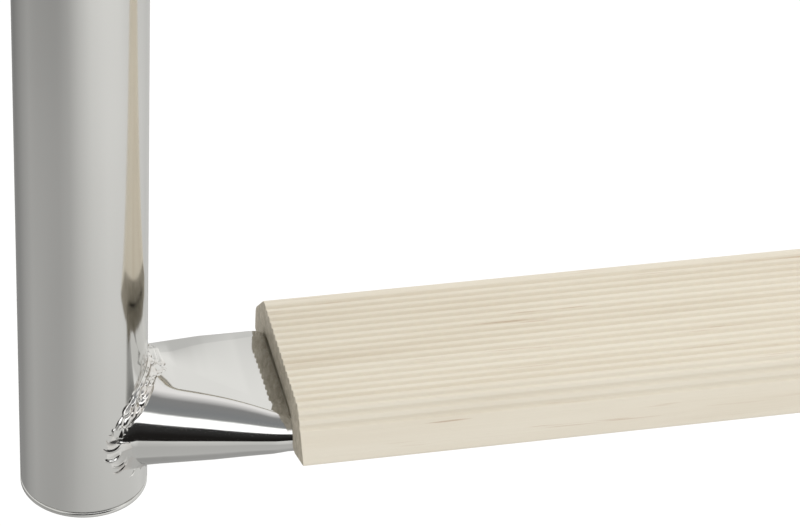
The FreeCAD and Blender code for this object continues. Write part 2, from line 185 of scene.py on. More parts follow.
def tread_wood():
    """Pale dry wood: lengthwise figure, short brown pores, darker end grain."""
    material, tree, shader = new_material("tread_wood")
    figure = stretched_noise(tree, (5, 90, 90), detail=5.0, roughness=0.6, distortion=0.3)
    base = ramp(tree, [
        (0.25, (0.72, 0.65, 0.53)), (0.5, (0.775, 0.715, 0.60)), (0.8, (0.82, 0.77, 0.66)),
    ])
    link(tree, figure, "Fac", base, "Fac")

    pores = stretched_noise(tree, (26, 900, 900), detail=2.0, roughness=0.5)
    pore_mask = ramp(tree, [(0.635, 0.0), (0.73, 1.0)])
    link(tree, pores, "Fac", pore_mask, "Fac")
    zones = stretched_noise(tree, (9, 40, 40), detail=2.0)
    zone_mask = ramp(tree, [(0.43, 0.0), (0.60, 1.0)])
    link(tree, zones, "Fac", zone_mask, "Fac")
    where = node(tree, "ShaderNodeMath", operation="MULTIPLY")
    link(tree, pore_mask, "Color", where, 0)
    link(tree, zone_mask, "Color", where, 1)
    weight = node(tree, "ShaderNodeMath", operation="MULTIPLY")
    weight.inputs[1].default_value = PORE_WEIGHT
    link(tree, where, "Value", weight, 0)
    streaked = node(tree, "ShaderNodeMix", data_type="RGBA")
    link(tree, weight, "Value", streaked, MIX_SHARE)
    link(tree, base, "Color", streaked, MIX_FIRST)
    streaked.inputs[MIX_SECOND].default_value = PORE_BROWN

    # The end grain shows where the surface faces along the board.
    ends = stretched_noise(tree, (300, 420, 420), detail=5.0, roughness=0.7)
    end_colour = ramp(tree, [(0.3, (0.30, 0.265, 0.20)), (0.7, (0.56, 0.51, 0.42))])
    link(tree, ends, "Fac", end_colour, "Fac")
    shape = node(tree, "ShaderNodeNewGeometry")
    parts = node(tree, "ShaderNodeSeparateXYZ")
    link(tree, shape, "Normal", parts, "Vector")
    lengthwise = node(tree, "ShaderNodeMath", operation="ABSOLUTE")
    link(tree, parts, "X", lengthwise, 0)
    end_mask = ramp(tree, [(0.75, 0.0), (0.9, 1.0)])
    link(tree, lengthwise, "Value", end_mask, "Fac")
    whole = blend(tree, end_mask, "Color", (streaked, MIX_RESULT), (end_colour, "Color"))
    link(tree, whole, MIX_RESULT, shader, "Base Color")

    rough = spread(tree, figure, "Fac", 0.72, 0.58)
    link(tree, rough, "Result", shader, "Roughness")
    fibre = stretched_noise(tree, (30, 1500, 1500), detail=3.0)
    relief(tree, fibre, 0.08 * MM, shader)
    shader.inputs["Specular IOR Level"].default_value = 0.35
    return material


TUBE_COLOUR = (0.67, 0.668, 0.655)

upright_metal = metal("polished_upright", TUBE_COLOUR, (420, 420, 5), 0.07, 0.12, 0.006 * MM)
level_metal = metal("polished_level", TUBE_COLOUR, (5, 420, 420), 0.05, 0.09, 0.005 * MM)
satin_metal = metal("satin_disc", (0.66, 0.655, 0.64), (300, 300, 300), 0.2, 0.3, 0.01 * MM)
weld_metal = bead_metal()
wood = tread_wood()


# Mesh helpers

def place_piece(name, points, faces, material, nodes, crease=35.0):
    """A smooth-shaded mesh object that rides on the ladder."""
    mesh = bpy.data.meshes.new(name)
    mesh.from_pydata([tuple(point) for point in points], [], faces)
    shape = bmesh.new()
    shape.from_mesh(mesh)
    bmesh.ops.recalc_face_normals(shape, faces=shape.faces)
    shape.to_mesh(mesh)
    shape.free()
    finish_piece(name, mesh, material, nodes, crease)


def finish_piece(name, mesh, material, nodes, crease):
    """Material, shading and the piece's place on the ladder; nodes are the solids it stands for."""
    mesh.materials.clear()
    mesh.materials.append(material)
    mesh.polygons.foreach_set("use_smooth", [True] * len(mesh.polygons))
    mesh.set_sharp_from_angle(angle=math.radians(crease))
    piece = bpy.data.objects.new(name, mesh)
    bpy.context.scene.collection.objects.link(piece)
    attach(piece, "root")
    if nodes:
        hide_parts(*nodes)


def loft(rings, close_along=False, caps=False):
    """Points and faces of a surface through closed rings with equal point counts."""
    count = len(rings[0])
    points = [tuple(point) for ring in rings for point in ring]
    faces = []
    steps = len(rings) if close_along else len(rings) - 1
    for step in range(steps):
        here = step * count
        after = ((step + 1) % len(rings)) * count
        for turn in range(count):
            other = (turn + 1) % count
            faces.append((here + turn, here + other, after + other, after + turn))
    if caps:
        faces.append(tuple(range(count)))
        last = (len(rings) - 1) * count
        faces.append(tuple(last + turn for turn in reversed(range(count))))
    return points, faces


def circle(radius, count):
    turns = np.arange(count) / count * 2 * math.pi
    return np.stack([radius * np.cos(turns), radius * np.sin(turns)], axis=1)


# Stiles

def stile_line():
    """Centre points of a stile with the direction of the tube at each, as (y, z, dy, dz)."""
    line = []
    for height in np.linspace(FOOT, ARCH_Z, 5):
        line.append((STILE_Y, height, 0.0, 1.0))
    for turn in np.linspace(0, math.pi, 65)[1:-1]:
        line.append((
            -ARCH_R - ARCH_R * math.cos(turn),
            ARCH_Z + ARCH_R * math.sin(turn),
            math.sin(turn),
            math.cos(turn),
        ))
    for height in np.linspace(ARCH_Z, DECK_END, 3):
        line.append((0.0, height, 0.0, -1.0))
    return line


def tube_ring(centre_y, centre_z, dir_y, dir_z, radius, across):
    flat = circle(radius, TUBE_SIDES)
    ring = np.zeros((TUBE_SIDES, 3))
    ring[:, 0] = across + flat[:, 0]
    ring[:, 1] = centre_y - dir_z * flat[:, 1]
    ring[:, 2] = centre_z + dir_y * flat[:, 1]
    return ring


# The rounded rim at a stile's foot, in mm, as (rise, how much smaller the radius is).
FOOT_RIM = ((0.0, 0.9), (0.12, 0.3), (0.35, 0.06), (0.7, 0.0))


def make_stile(side, across):
    line = stile_line()
    rings = []
    y, z, dy, dz = line[0]
    for rise, drawn_in in FOOT_RIM:
        rings.append(tube_ring(y, z + rise * MM, dy, dz, STILE_R - drawn_in * MM, across))
    for station in line[1:]:
        rings.append(tube_ring(*station, STILE_R, across))
    for station in reversed(line):
        rings.append(tube_ring(*station, STILE_BORE, across))
    points, faces = loft(rings, close_along=True)
    nodes = [side + "_stile"]
    place_piece(side + "_stile_tube", points, faces, upright_metal, nodes)


def make_cap(side, across):
    """The closing disc, rounded at its rim, with its plug inside the tube."""
    plug = STILE_BORE - CAP_CLEARANCE
    profile = [
        (0.0, -CAP_FLANGE),
        (STILE_R - 0.45 * MM, -CAP_FLANGE),
        (STILE_R - 0.25 * MM, -CAP_FLANGE + 0.06 * MM),
        (STILE_R - 0.07 * MM, -CAP_FLANGE + 0.22 * MM),
        (STILE_R, -CAP_FLANGE + 0.42 * MM),
        (STILE_R, -0.42 * MM),
        (STILE_R - 0.07 * MM, -0.25 * MM),
        (STILE_R - 0.3 * MM, -0.16 * MM),
        (STILE_R - 1.4 * MM, -0.12 * MM),
        (STILE_R - 1.5 * MM, 0.0),
        (plug, 0.0),
        (plug, CAP_PLUG),
        (plug - CAP_WALL, CAP_PLUG),
        (plug - CAP_WALL, 0.0),
        (0.0, 0.0),
    ]
    smallest = 0.05 * MM
    rings = []
    for radius, height in profile:
        ring = np.zeros((TUBE_SIDES, 3))
        flat = circle(max(radius, smallest), TUBE_SIDES)
        ring[:, 0] = across + flat[:, 0]
        ring[:, 1] = STILE_Y + flat[:, 1]
        ring[:, 2] = FOOT + height
        rings.append(ring)
    points, faces = loft(rings, caps=True)
    nodes = [side + "_end_cap"]
    place_piece(side + "_foot_cap", points, faces, level_metal, nodes, 50)


def smooth_copy(node_name, name, material):
    """A merged, smooth-shaded copy of a solid's mesh that stands for it."""
    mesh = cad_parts[node_name].data.copy()
    shape = bmesh.new()
    shape.from_mesh(mesh)
    bmesh.ops.remove_doubles(shape, verts=shape.verts, dist=0.001 * MM)
    shape.to_mesh(mesh)
    shape.free()
    finish_piece(name, mesh, material, [node_name], 30)


# Rungs

# The two waves in a rung's section and how they grow along the press, fitted to the edges of the
# bands that the polished tube reflects.
SIZE_POWER = 1.14
EDGE_GROWTH = 1.02
OVAL_WAVE = 0.18
OVAL_POWER = 1.44
CORNER_WAVE = -0.39
CORNER_GROWTH = -0.41
CORNER_POWER = 1.56
# Under the bead the corners are sharper and the tube draws in.
CORNERS_UNTIL = 16 * MM
TIP_DRAW = 0.06
# From the tread's end on the tube is a little smaller, to sit in the groove.
SEAT_DROP = 0.4 * MM
# The flat that the press leaves on top: where it begins, and its tilt by the distance along.
FLAT_FROM = math.radians(53)
FLAT_TILT = ((35 * MM, 50 * MM, 61.5 * MM), (0.27, 0.14, 0.27))
# The lower front hangs a little lower than the waves make it, and the upper back stands higher.
FRONT_DROP = 0.7 * MM
BACK_LIFT = 1.25 * MM
# The coped end: how much smaller than the tube it is, and how far it reaches into the stile.
COPE_PLAY = 0.3 * MM
COPE_REACH = 0.6 * MM


def growth(across, start, stretch):
    """0 up to a place along the rung, and 1 from a stretch beyond it."""
    return np.clip((across - start) / stretch, 0, 1)


def rung_waves(across, inset, angles):
    """Depth to the front and height of a rung's section at a distance from the stile's axis.

    The angles are those of the outward normal, 0 to the front and 90 degrees up. The tube is round
    with a hint of four corners at the weld, and pressed lower and wider towards the tread: the two
    waves shift its radius of curvature, and flats above and below keep its girth.
    """
    pressed = np.clip((across - PRESS_START) / (PRESS_END - PRESS_START), -0.2, 1)
    grown = np.maximum(pressed, 0)
    size = RUNG_R - (RUNG_R - PRESS_HALF) * (1 - (1 - pressed) ** SIZE_POWER)
    edge = math.pi / 2 * (EDGE_GROWTH * RUNG_R - size)
    oval = OVAL_WAVE * np.sin(math.pi * grown ** OVAL_POWER)
    corners = CORNER_WAVE + CORNER_GROWTH * np.sin(math.pi * grown ** CORNER_POWER)
    near = growth(across, 9.5 * MM, 4 * MM) ** 0.5
    corners = np.where(across < CORNERS_UNTIL, -1 + (1 + CORNER_WAVE) * near, corners)
    size = size * (1 - TIP_DRAW * (1 - growth(across, 6 * MM, 7 * MM)))
    size = size - SEAT_DROP * growth(across, 56.5 * MM, 4.5 * MM)
    away = size * (1 - oval * np.cos(2 * angles) / 3 - corners * np.cos(4 * angles) / 15) - inset
    drift = size * (oval * np.sin(2 * angles) * 2 / 3 + corners * np.sin(4 * angles) * 4 / 15)
    # 1 on the front half and -1 on the back half.
    side = np.clip(np.cos(angles) * 1e6, -1, 1)
    depth = away * np.cos(angles) - drift * np.sin(angles) + side * edge
    height = away * np.sin(angles) + drift * np.cos(angles)
    return depth, height


def rung_section(across, inset, angles):
    """Points (depth, height) of a rung's section, with the flat that the press leaves on top."""
    depth, height = rung_waves(across, inset, angles)
    crest_depth, crest_height = rung_waves(across, inset, np.full_like(angles, FLAT_FROM))
    tilt = np.interp(across, *FLAT_TILT)
    over = np.maximum(height - crest_height - (crest_depth - np.abs(depth)) * tilt, 0)
    started = growth(across, PRESS_START, 6 * MM)
    height = height - np.where(np.sin(angles) > math.sin(FLAT_FROM), over * started, 0.0)
    drawn = growth(across, PRESS_START, 17 * MM)
    tucked = growth(across, 59.5 * MM, 2 * MM)
    front_low = (np.cos(angles) > 0) & (np.sin(angles) < 0)
    back_high = (np.cos(angles) < 0) & (np.sin(angles) > 0)
    height = height - np.where(front_low, FRONT_DROP, 0.0) * drawn
    height = height + np.where(back_high, BACK_LIFT, 0.0) * drawn * (1 - tucked)
    return np.stack([-depth, height], axis=1)


def half_rung(height, inset, angles, cope_steps, press_steps):
    """Rings from the coped end at the left stile to the middle of a rung."""
    rings = []
    radius = RUNG_R - COPE_PLAY - inset
    coped = np.sqrt(STILE_R ** 2 - (radius * np.cos(angles)) ** 2) - COPE_REACH
    shares = np.linspace(0.02, 0.95, cope_steps)
    stations = [coped]
    stations += [coped + (PRESS_START - coped) * share for share in shares]
    stations += list(np.linspace(PRESS_START, PRESS_END, press_steps)) + [140 * MM, SPAN / 2]
    for place, across in enumerate(stations):
        if place == 0:
            section = np.stack([-radius * np.cos(angles), radius * np.sin(angles)], axis=1)
        else:
            section = rung_section(across, inset, angles)
        ring = np.zeros((len(angles), 3))
        ring[:, 0] = across
        ring[:, 1] = STILE_Y + section[:, 0]
        ring[:, 2] = height + section[:, 1]
        rings.append(ring)
    return rings


def mirrored(rings):
    copies = []
    for ring in reversed(rings[:-1]):
        other = ring.copy()
        other[:, 0] = SPAN - other[:, 0]
        copies.append(other)
    return copies


def make_rung(number, height):
    quarter = math.pi / 2 - 0.001
    half_turn = np.linspace(-quarter, quarter, 90)
    angles = np.concatenate([half_turn, half_turn + math.pi])
    outside = half_rung(height, 0.0, angles, 24, 43)
    outside = outside + mirrored(outside)
    inside = half_rung(height, RUNG_WALL, angles, 4, 10)
    inside = inside + mirrored(inside)
    points, faces = loft(outside + inside[::-1], close_along=True)
    name = "rung_%d" % number
    place_piece(name + "_tube", points, faces, level_metal, [name])


# Treads

# The board's section in mm, from the rung's axis, with the front at negative depths. The vees are
# counted from the back, and those on the nose are shallower.
RIB_PITCH = 3.2
RIB_DEPTH = 1.0
RIB_HALF_WIDTH = 1.15
RIB_MARGIN = 16.0
LAST_VEE = 18
NOSE_VEES_AFTER = 15.5
NOSE_VEE_SHARE = 0.7
BARE_NOSE = 7.4
POINT_STEP = 0.16
SLOPE_STEP = 0.2
BOARD_BACK = 36.0
BOARD_FRONT = -42.0
BOARD_TOP = 18.0
SHOULDER_WIDTH = 12.0
SHOULDER_DROP = 11.5
SHOULDER_ROUND = 5.0
NOSE_BREAK = -31.0
NOSE_FOOT = 3.0
NOSE_ROUND = 5.0
LIP = -2.0
BEVEL_WIDTH = 12.5
GROOVE_HALF = 26.06
GROOVE_ROOF = 8.0
END_WEAR = 0.22


def corner_arc(before, corner, after, radius, steps):
    """Points of a rounded corner."""
    corner = np.array(corner, float)
    inward = np.array(before, float) - corner
    outward = np.array(after, float) - corner
    inward /= np.linalg.norm(inward)
    outward /= np.linalg.norm(outward)
    half = math.acos(np.clip(inward @ outward, -1, 1)) / 2
    reach = radius / math.tan(half)
    middle = (inward + outward) / np.linalg.norm(inward + outward)
    centre = corner + middle * radius / math.sin(half)
    start = corner + inward * reach - centre
    finish = corner + outward * reach - centre
    first = math.atan2(start[1], start[0])
    last = math.atan2(finish[1], finish[0])
    swing = (last - first + math.pi) % (2 * math.pi) - math.pi
    angles = first + swing * np.linspace(0, 1, steps)
    return np.stack([centre[0] + radius * np.cos(angles), centre[1] + radius * np.sin(angles)], axis=1)


def on_path(runs, along, path):
    """Points at given distances along a path."""
    return np.stack([np.interp(runs, along, path[:, axis]) for axis in (0, 1)], axis=1)


def tread_outline():
    """The board's section in mm as (depth, height), ribs and groove included."""
    nose = (NOSE_BREAK, BOARD_TOP)
    foot = (BOARD_FRONT, NOSE_FOOT)
    bevel = (BOARD_FRONT + BEVEL_WIDTH, LIP)
    crest = corner_arc((0, BOARD_TOP), nose, foot, NOSE_ROUND, 13)
    slope = np.array(foot) - np.array(nose)
    slope /= np.linalg.norm(slope)
    shoulder_foot = (BOARD_BACK, BOARD_TOP - SHOULDER_DROP)
    shoulder = (BOARD_BACK - SHOULDER_WIDTH, BOARD_TOP)
    low_round = corner_arc((BOARD_BACK, LIP), shoulder_foot, shoulder, SHOULDER_ROUND, 9)
    high_round = corner_arc(shoulder_foot, shoulder, (0, BOARD_TOP), SHOULDER_ROUND, 9)

    # The top and the nose, point by point, with the vees cut in.
    path = [tuple(high_round[-1])]
    path += [tuple(point) for point in crest]
    path.append(tuple(np.array(foot) - slope * BARE_NOSE))
    path = np.array(path)
    gaps = np.linalg.norm(np.diff(path, axis=0), axis=1)
    along = np.concatenate([[0], np.cumsum(gaps)])
    runs = np.arange(0, along[-1], POINT_STEP)
    points = on_path(runs, along, path)
    tangent = on_path(runs + SLOPE_STEP, along, path) - on_path(runs - SLOPE_STEP, along, path)
    tangent /= np.linalg.norm(tangent, axis=1)[:, None]
    outward = np.stack([tangent[:, 1], -tangent[:, 0]], axis=1)
    first = high_round[-1][0] - (BOARD_BACK - RIB_MARGIN)
    last = first + LAST_VEE * RIB_PITCH
    index = np.round((runs - first) / RIB_PITCH)
    off = np.abs(runs - first - index * RIB_PITCH)
    inside = (index >= 0) & (runs <= last + RIB_PITCH / 2)
    vee = 0.5 + 0.5 * np.cos(math.pi * off / RIB_HALF_WIDTH)
    depth = np.where(off < RIB_HALF_WIDTH, vee, 0.0)
    depth = np.where(inside, depth * RIB_DEPTH, 0.0)
    depth = np.where(index > NOSE_VEES_AFTER, depth * NOSE_VEE_SHARE, depth)
    ribs = points - outward * depth[:, None] * np.sign(outward[:, 1] + 1e-9)[:, None]

    # The underside from the front to the back.
    toe = corner_arc(nose, foot, bevel, 0.7, 5)
    lip = corner_arc(foot, bevel, (0, LIP), 1.0, 4)
    front = (-GROOVE_HALF, GROOVE_ROOF)
    back = (GROOVE_HALF, GROOVE_ROOF)
    roof_front = corner_arc((-GROOVE_HALF, 0), front, (0, GROOVE_ROOF), GROOVE_ROOF, 13)
    roof_back = corner_arc((0, GROOVE_ROOF), back, (GROOVE_HALF, 0), GROOVE_ROOF, 13)
    back_lip = corner_arc((0, LIP), (BOARD_BACK, LIP), (BOARD_BACK, BOARD_TOP), 0.8, 4)
    parts = [
        low_round, high_round[:-1], ribs, toe, lip, [(-GROOVE_HALF, LIP)],
        roof_front, roof_back, [(GROOVE_HALF, LIP)], back_lip,
    ]
    return np.concatenate([np.array(part, float) for part in parts])


def make_tread(number, height):
    """The board, with its ends' edges worn a little."""
    outline = tread_outline()
    before = np.roll(outline, 1, axis=0)
    after = np.roll(outline, -1, axis=0)
    tangent = after - before
    tangent /= np.linalg.norm(tangent, axis=1)[:, None]
    inward = np.stack([-tangent[:, 1], tangent[:, 0]], axis=1)
    area = 0.5 * np.sum(outline[:, 0] * after[:, 1] - after[:, 0] * outline[:, 1])
    inward *= math.copysign(1.0, area)
    start, finish = TREAD_ENDS
    edge = ((0.0, END_WEAR), (0.08 * MM, END_WEAR * 0.35), (END_WEAR * MM, 0.0))
    stations = [(start + step, shrink) for step, shrink in edge]
    stations.append((SPAN / 2, 0.0))
    stations += [(finish - step, shrink) for step, shrink in reversed(edge)]
    rings = []
    for across, shrink in stations:
        shape = outline + inward * shrink
        ring = np.zeros((len(outline), 3))
        ring[:, 0] = across
        ring[:, 1] = STILE_Y + shape[:, 0] * MM
        ring[:, 2] = height + shape[:, 1] * MM
        rings.append(ring)
    points, faces = loft(rings, caps=True)
    name = "tread_%d" % number
    place_piece(name + "_board", points, faces, wood, [name], 40)


# Weld beads

# How far a bead reaches over the stile and along the rung, in mm, by the angle round the rung
# from the front over the top.
STILE_LEG = (
    (0, 18, 30, 60, 110, 240, 290, 335, 360),
    (4.4, 2.6, 2.9, 3.2, 3.4, 3.0, 2.4, 5.4, 4.4),
)
RUNG_LEG = (
    (0, 18, 32, 60, 80, 105, 240, 290, 360),
    (2.6, 1.5, 4.0, 4.6, 7.0, 5.0, 3.0, 2.0, 2.6),
)
KNEE_REACH = 3.5
WELD_AROUND = 600
WELD_STEPS = 44

# Where drops stand proud, in degrees round the rung, and where round ones take over from ridges.
PROUD_FROM = 22
ROUND_AFTER = 74
PROUD_UNTIL = 200
# The drops' rows, as shares of the way from the rung to the stile.
PROUD_LANES = (0.25, 0.5, 0.78)
LOW_LANES = (0.74,)
SURFACE_SINK = 0.03

CRATER_TURN = 18
CRATER_LANE = 0.6
CRATER_RADIUS = 2.2
CRATER_DEPTH = 2.2


def weld_spots():
    """For each direction round a rung: the toes, knee and seat of the bead in mm."""
    spots = []
    big = STILE_R / MM
    small = RUNG_R / MM
    for turn in np.arange(WELD_AROUND) / WELD_AROUND * 2 * math.pi:
        depth = small * math.cos(turn)
        rise = small * math.sin(turn)
        seat = math.sqrt(big ** 2 - depth ** 2)
        angle = math.atan2(seat, depth)
        d_seat = depth * rise / seat
        d_angle = (d_seat * depth + seat * rise) / big ** 2
        along = np.array([d_angle * big, small * math.cos(turn)])
        along /= np.linalg.norm(along)
        out = np.array([-along[1], along[0]])
        if out @ np.array([angle - math.pi / 2, rise / big]) < 0:
            out = -out
        degrees = math.degrees(turn)
        leg = np.interp(degrees, *STILE_LEG)
        toe_angle = angle + out[0] * leg / big
        toe = np.array([big * math.sin(toe_angle), -big * math.cos(toe_angle), rise + out[1] * leg])
        knee_x = (big - math.cos(toe_angle) * depth) / max(math.sin(toe_angle), 0.05)
        knee_x = min(max(knee_x, seat), seat + KNEE_REACH)
        start_x = knee_x + np.interp(degrees, *RUNG_LEG)
        skin = rung_section(start_x * MM, 0.0, np.array([turn + 0.001]))[0] / MM
        spots.append({
            "start": np.array([start_x, skin[0], skin[1]]),
            "knee": np.array([knee_x, skin[0], skin[1]]),
            "toe": toe,
            "seat": np.array([seat, -depth, rise]),
            "rung_face": np.array([0.0, -math.cos(turn), math.sin(turn)]),
            "stile_face": np.array([math.sin(toe_angle), -math.cos(toe_angle), 0.0]),
            "turn": degrees,
        })
    return spots


def bead_blend(spots):
    """The smooth bead under the drops: its points in mm and their outward directions."""
    share = np.linspace(0, 1, WELD_STEPS)[:, None]
    base = np.zeros((len(spots), WELD_STEPS, 3))
    outward = np.zeros((len(spots), WELD_STEPS, 3))
    for place, spot in enumerate(spots):
        base[place] = ((1 - share) ** 2 * spot["start"] + 2 * share * (1 - share) * spot["knee"]
                       + share ** 2 * spot["toe"])
        face = spot["rung_face"] * (1 - share) + spot["stile_face"] * share
        outward[place] = face / np.linalg.norm(face, axis=1)[:, None]
    return base, outward


def bead_offsets(base, place, row):
    """How far every point of the bead lies along it, and aside, from one of them."""
    ahead = base[(place + 6) % len(base), row] - base[place - 6, row]
    ahead /= np.linalg.norm(ahead)
    offset = base - base[place, row]
    run = offset @ ahead
    aside = np.sqrt(np.maximum((offset ** 2).sum(axis=2) - run ** 2, 0))
    return run, aside


def bead_drops(base, spots, draw):
    """How high the overlapping drops stand over the smooth bead, in mm.

    Long ridges lie on the upper front and round drops over the top to the back. Elsewhere only
    the drops' edges are left, as crescents. draw is the bead's own source of chance.
    """
    seats = np.array([spot["seat"] for spot in spots])
    gaps = np.linalg.norm(np.roll(seats, -1, axis=0) - seats, axis=1)
    along = np.concatenate([[0], np.cumsum(gaps)[:-1]])
    length = gaps.sum()
    lift = np.zeros(base.shape[:2])
    middle = draw.uniform(0, 2)
    while middle < length:
        place = int(np.searchsorted(along, middle)) % len(spots)
        turn = spots[place]["turn"]
        ridged = PROUD_FROM < turn <= ROUND_AFTER
        round_top = ROUND_AFTER < turn < PROUD_UNTIL
        lanes = PROUD_LANES if ridged or round_top else LOW_LANES
        for lane in lanes:
            share = lane + draw.uniform(-0.07, 0.07)
            here = (place + int(draw.uniform(-7, 7))) % len(spots)
            run, aside = bead_offsets(base, here, int(share * (WELD_STEPS - 1)))
            if ridged:
                apart = np.hypot(run / draw.uniform(2.4, 4.4), aside / draw.uniform(1.3, 1.9))
                dome = np.clip(1 - apart ** 2, 0, 1) ** 0.75
                peak = dome * (1 - 0.12 * run) * draw.uniform(0.7, 1.25)
                lift = np.maximum(lift, peak)
            elif round_top:
                apart = np.hypot(run / draw.uniform(1.2, 2.0), aside / draw.uniform(1.1, 1.8))
                dome = np.clip(1 - apart ** 2, 0, 1) ** 0.5
                lift = np.maximum(lift, dome * draw.uniform(0.7, 1.5))
            elif draw.uniform() < 0.8:
                apart = np.hypot(run, aside) / draw.uniform(2.4, 3.4)
                edge = np.exp(-((apart - 1.0) / 0.12) ** 2) * np.clip(-run / 2.4 - 0.25, 0, 1)
                lift = lift + 0.36 * edge * draw.uniform(0.4, 1.0)
        middle += draw.uniform(2.2, 3.0) if ridged else draw.uniform(1.7, 2.6)
    return lift


def with_crater(base, lift):
    """The heights with the uneven pit that the weld ends in, and the lip over it."""
    place = int(round(CRATER_TURN / 360 * len(base)))
    offset = base - base[place, int(CRATER_LANE * (WELD_STEPS - 1))]
    apart = np.linalg.norm(offset * np.array([1.0, 0.6, 1.15]), axis=2)
    apart = apart * (1 + 0.18 * np.sin(2.3 * offset[:, :, 0] + 1.7 * offset[:, :, 2]))
    pit = -CRATER_DEPTH * np.exp(-(apart / 1.8) ** 4)
    lip = 0.5 * np.exp(-((apart - 2.5) / 0.4) ** 2) * np.clip(0.3 + offset[:, :, 2] / 2, 0, 1)
    return np.where(apart < CRATER_RADIUS, pit, lift) + np.where(apart >= CRATER_RADIUS, lip, 0.0)


def make_weld(side, number, height):
    """The bead round a rung's end: a blend onto both tubes under drops, with a crater in front."""
    spots = weld_spots()
    draw = np.random.default_rng(100 + number * 2 + (side == "right"))
    base, outward = bead_blend(spots)
    lift = with_crater(base, bead_drops(base, spots, draw))
    fade = np.clip(np.sin(math.pi * np.linspace(0, 1, WELD_STEPS)) * 3, 0, 1)
    raised = (lift * fade[None, :])[:, :, None]
    surface = base + outward * raised - outward * SURFACE_SINK
    rings = []
    for place, spot in enumerate(spots):
        inner = spot["seat"] * np.array([1, 0.93, 0.93]) - np.array([1.0, 0, 0])
        rings.append(np.concatenate([surface[place], [inner]]) * MM)
    rings = np.array(rings)
    if side == "right":
        rings[:, :, 0] = SPAN - rings[:, :, 0]
    rings[:, :, 1] += STILE_Y
    rings[:, :, 2] += height
    points, faces = loft(list(rings), close_along=True)
    name = "%s_weld_%d" % (side, number)
    place_piece(name + "_bead", points, faces, weld_metal, [name], 60)


# Screws

SCREW_SPACING = 110 * MM
HEAD_RADIUS = 4.0 * MM
CROWN_RADIUS = 2.88 * MM
HEAD_HEIGHT = 2.2 * MM
RECESS_WIDTH = 0.9 * MM
RECESS_LENGTH = 4.4 * MM
RECESS_DROP = 0.22 * MM
SCREW_COUNT = 3
# A rung's flat underside, from its axis.
UNDERSIDE = -7.3 * MM


def screw_row_tree():
    """Geometry nodes: a row of pan heads, face down, each with a cross recess."""
    tree = bpy.data.node_groups.new("screw_row", "GeometryNodeTree")
    tree.interface.new_socket(name="Geometry", in_out="OUTPUT", socket_type="NodeSocketGeometry")
    sizes = (
        ("Count", "NodeSocketInt", SCREW_COUNT),
        ("Start", "NodeSocketVector", (0.0, 0.0, 0.0)),
        ("Spacing", "NodeSocketVector", (SCREW_SPACING, 0.0, 0.0)),
        ("Head radius", "NodeSocketFloat", HEAD_RADIUS),
        ("Crown radius", "NodeSocketFloat", CROWN_RADIUS),
        ("Head height", "NodeSocketFloat", HEAD_HEIGHT),
        ("Recess", "NodeSocketVector", (RECESS_LENGTH, RECESS_WIDTH, HEAD_HEIGHT)),
    )
    for name, kind, value in sizes:
        socket = tree.interface.new_socket(name=name, in_out="INPUT", socket_type=kind)
        socket.default_value = value
    given = node(tree, "NodeGroupInput")
    row = node(tree, "GeometryNodeMeshLine", mode="OFFSET")
    link(tree, given, "Count", row, "Count")
    link(tree, given, "Start", row, "Start Location")
    link(tree, given, "Spacing", row, "Offset")
    head = node(tree, "GeometryNodeMeshCone", Vertices=32)
    link(tree, given, "Crown radius", head, "Radius Bottom")
    link(tree, given, "Head radius", head, "Radius Top")
    link(tree, given, "Head height", head, "Depth")
    slot = node(tree, "GeometryNodeMeshCube")
    link(tree, given, "Recess", slot, "Size")
    sink = node(tree, "GeometryNodeTransform", Translation=(0.0, 0.0, -RECESS_DROP))
    link(tree, slot, "Mesh", sink, "Geometry")
    crossed = node(tree, "GeometryNodeTransform", Rotation=(0.0, 0.0, math.pi / 2))
    link(tree, sink, "Geometry", crossed, "Geometry")
    cut = node(tree, "GeometryNodeMeshBoolean", operation="DIFFERENCE")
    link(tree, head, "Mesh", cut, "Mesh 1")
    link(tree, sink, "Geometry", cut, "Mesh 2")
    link(tree, crossed, "Geometry", cut, "Mesh 2")
    placed = node(tree, "GeometryNodeInstanceOnPoints")
    link(tree, row, "Mesh", placed, "Points")
    link(tree, cut, "Mesh", placed, "Instance")
    real = node(tree, "GeometryNodeRealizeInstances")
    link(tree, placed, "Instances", real, "Geometry")
    coated = node(tree, "GeometryNodeSetMaterial", Material=satin_metal)
    link(tree, real, "Geometry", coated, "Geometry")
    out = node(tree, "NodeGroupOutput")
    link(tree, coated, "Geometry", out, "Geometry")
    return tree


def make_screws(number, height, tree):
    """The pan heads that hold a tread, on the flat underside of its rung."""
    holder = bpy.data.objects.new("screw_row", bpy.data.meshes.new("screw_row"))
    bpy.context.scene.collection.objects.link(holder)
    rule = holder.modifiers.new("screws", "NODES")
    rule.node_group = tree
    start = (SPAN / 2 - SCREW_SPACING, STILE_Y, height + UNDERSIDE - HEAD_HEIGHT / 2)
    for socket in tree.interface.items_tree:
        if socket.name == "Start":
            rule[socket.identifier] = start
    made = holder.evaluated_get(bpy.context.evaluated_depsgraph_get())
    mesh = bpy.data.meshes.new_from_object(made)
    bpy.data.objects.remove(holder)
    finish_piece("rung_%d_screws" % number, mesh, satin_metal, [], 30)


screw_tree = screw_row_tree()
for side, across in STILES:
    make_stile(side, across)
    make_cap(side, across)
    smooth_copy(side + "_deck_flange", side + "_deck_plate", satin_metal)
    smooth_copy(side + "_flange_weld", side + "_flange_bead", weld_metal)
for number, height in enumerate(RUNG_HEIGHTS, start=1):
    make_rung(number, height)
    make_tread(number, height)
    make_screws(number, height, screw_tree)
    for side, across in STILES:
        make_weld(side, number, height)


# Floor, surroundings and light

FLOOR_DROP = 0.6
FLOOR_REACH = 9.0
FLOOR_GLOW = 0.22
WHITE = (1.0, 1.0, 1.0, 1.0)


